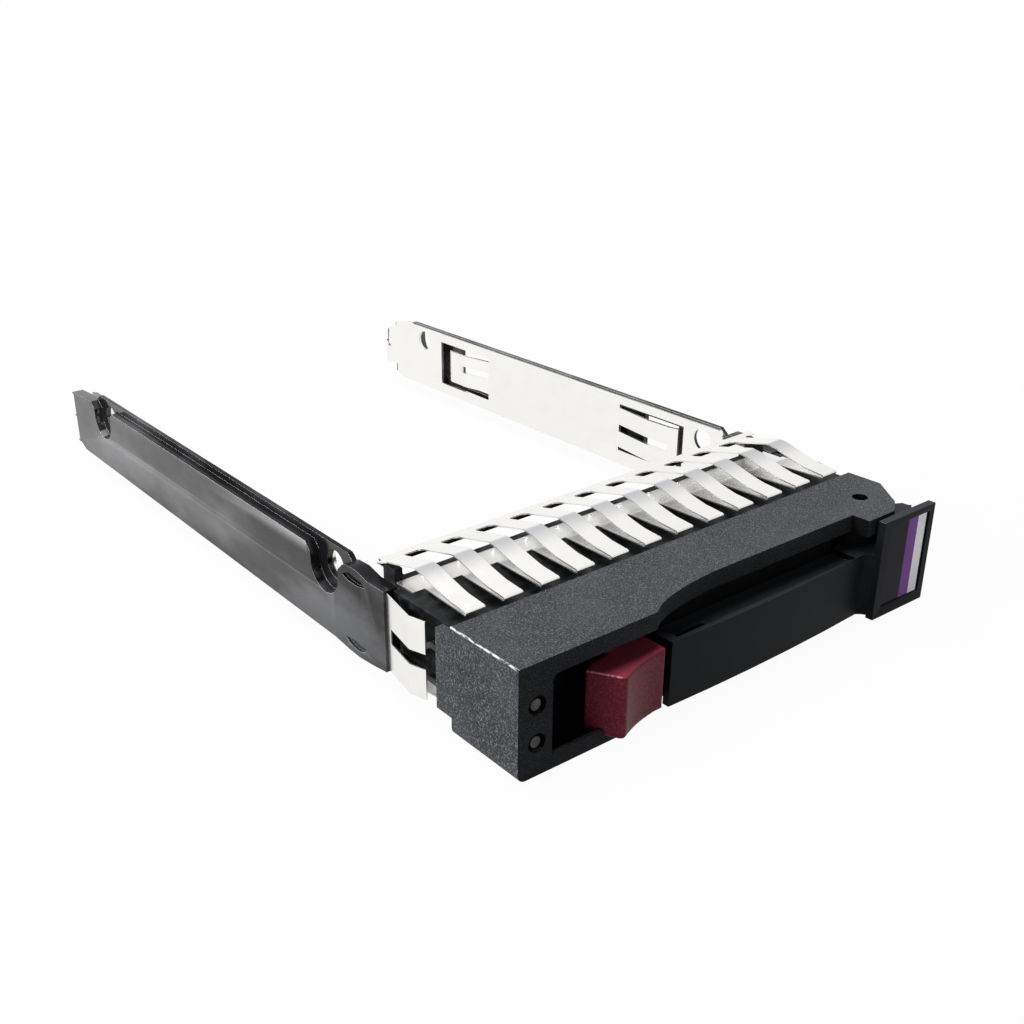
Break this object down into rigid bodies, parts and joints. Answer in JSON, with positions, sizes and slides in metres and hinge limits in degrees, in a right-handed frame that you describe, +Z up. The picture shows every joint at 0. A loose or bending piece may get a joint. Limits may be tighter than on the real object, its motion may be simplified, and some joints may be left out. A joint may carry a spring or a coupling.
{
  "type": "hot swap drive caddy",
  "caption": "U-shaped carrier for a 2.5 inch drive: moulded front with swing lever and slide latch, lined side rails, spring contact combs.",
  "frame": {"origin": "under the middle of the caddy's box, on the surface that the bezel stands on", "axes": "+Y from the lever towards the rear of the rails, +Z up, +X to the right seen from the front"},
  "size_m": [0.0776, 0.1343, 0.018],
  "materials": {
    "bezel_plastic": "fine spark texture, charcoal",
    "frame_plastic": "satin moulded, black",
    "rail_plastic": "glossy moulded, black",
    "liner_steel": "bright rolled stainless strip",
    "spring_steel": "bright stainless spring sheet",
    "lever_plastic": "smooth satin, black",
    "latch_plastic": "fine grain, burgundy",
    "clear_plastic": "clear moulded, polished ends",
    "label_print": "printed film with a violet and a white band",
    "pin_steel": "ground steel",
    "wire_steel": "black oxide spring wire"
  },
  "bodies": {
    "carrier": {"bezel": "bezel_plastic", "inner_frame": "frame_plastic", "left_rail": "rail_plastic", "right_rail": "rail_plastic", "left_rail_liner": "liner_steel", "right_rail_liner": "liner_steel", "top_comb": "spring_steel", "bottom_comb": "spring_steel", "left_side_spring": "spring_steel", "right_side_spring": "spring_steel", "upper_light_pipe": "clear_plastic", "lower_light_pipe": "clear_plastic", "lever_pivot_pin": "pin_steel", "lever_spring": "wire_steel", "latch_spring": "wire_steel"},
    "lever": {"lever": "lever_plastic", "tab_label": "label_print"},
    "latch": {"release_latch": "latch_plastic"}
  },
  "joints": [
    {"name": "lever_swing", "type": "hinge", "parent": "carrier", "child": "lever", "pos_m": [0.02925, -0.05883, 0.0077], "axis": [0, 0, 1], "range_deg": [0, 55]},
    {"name": "latch_slide", "type": "slide", "parent": "carrier", "child": "latch", "axis": [-1, 0, 0], "range_m": [0, 0.004], "stiffness_N_per_m": 120, "springref_m": -0.003, "deforming": ["latch_spring"]}
  ]
}
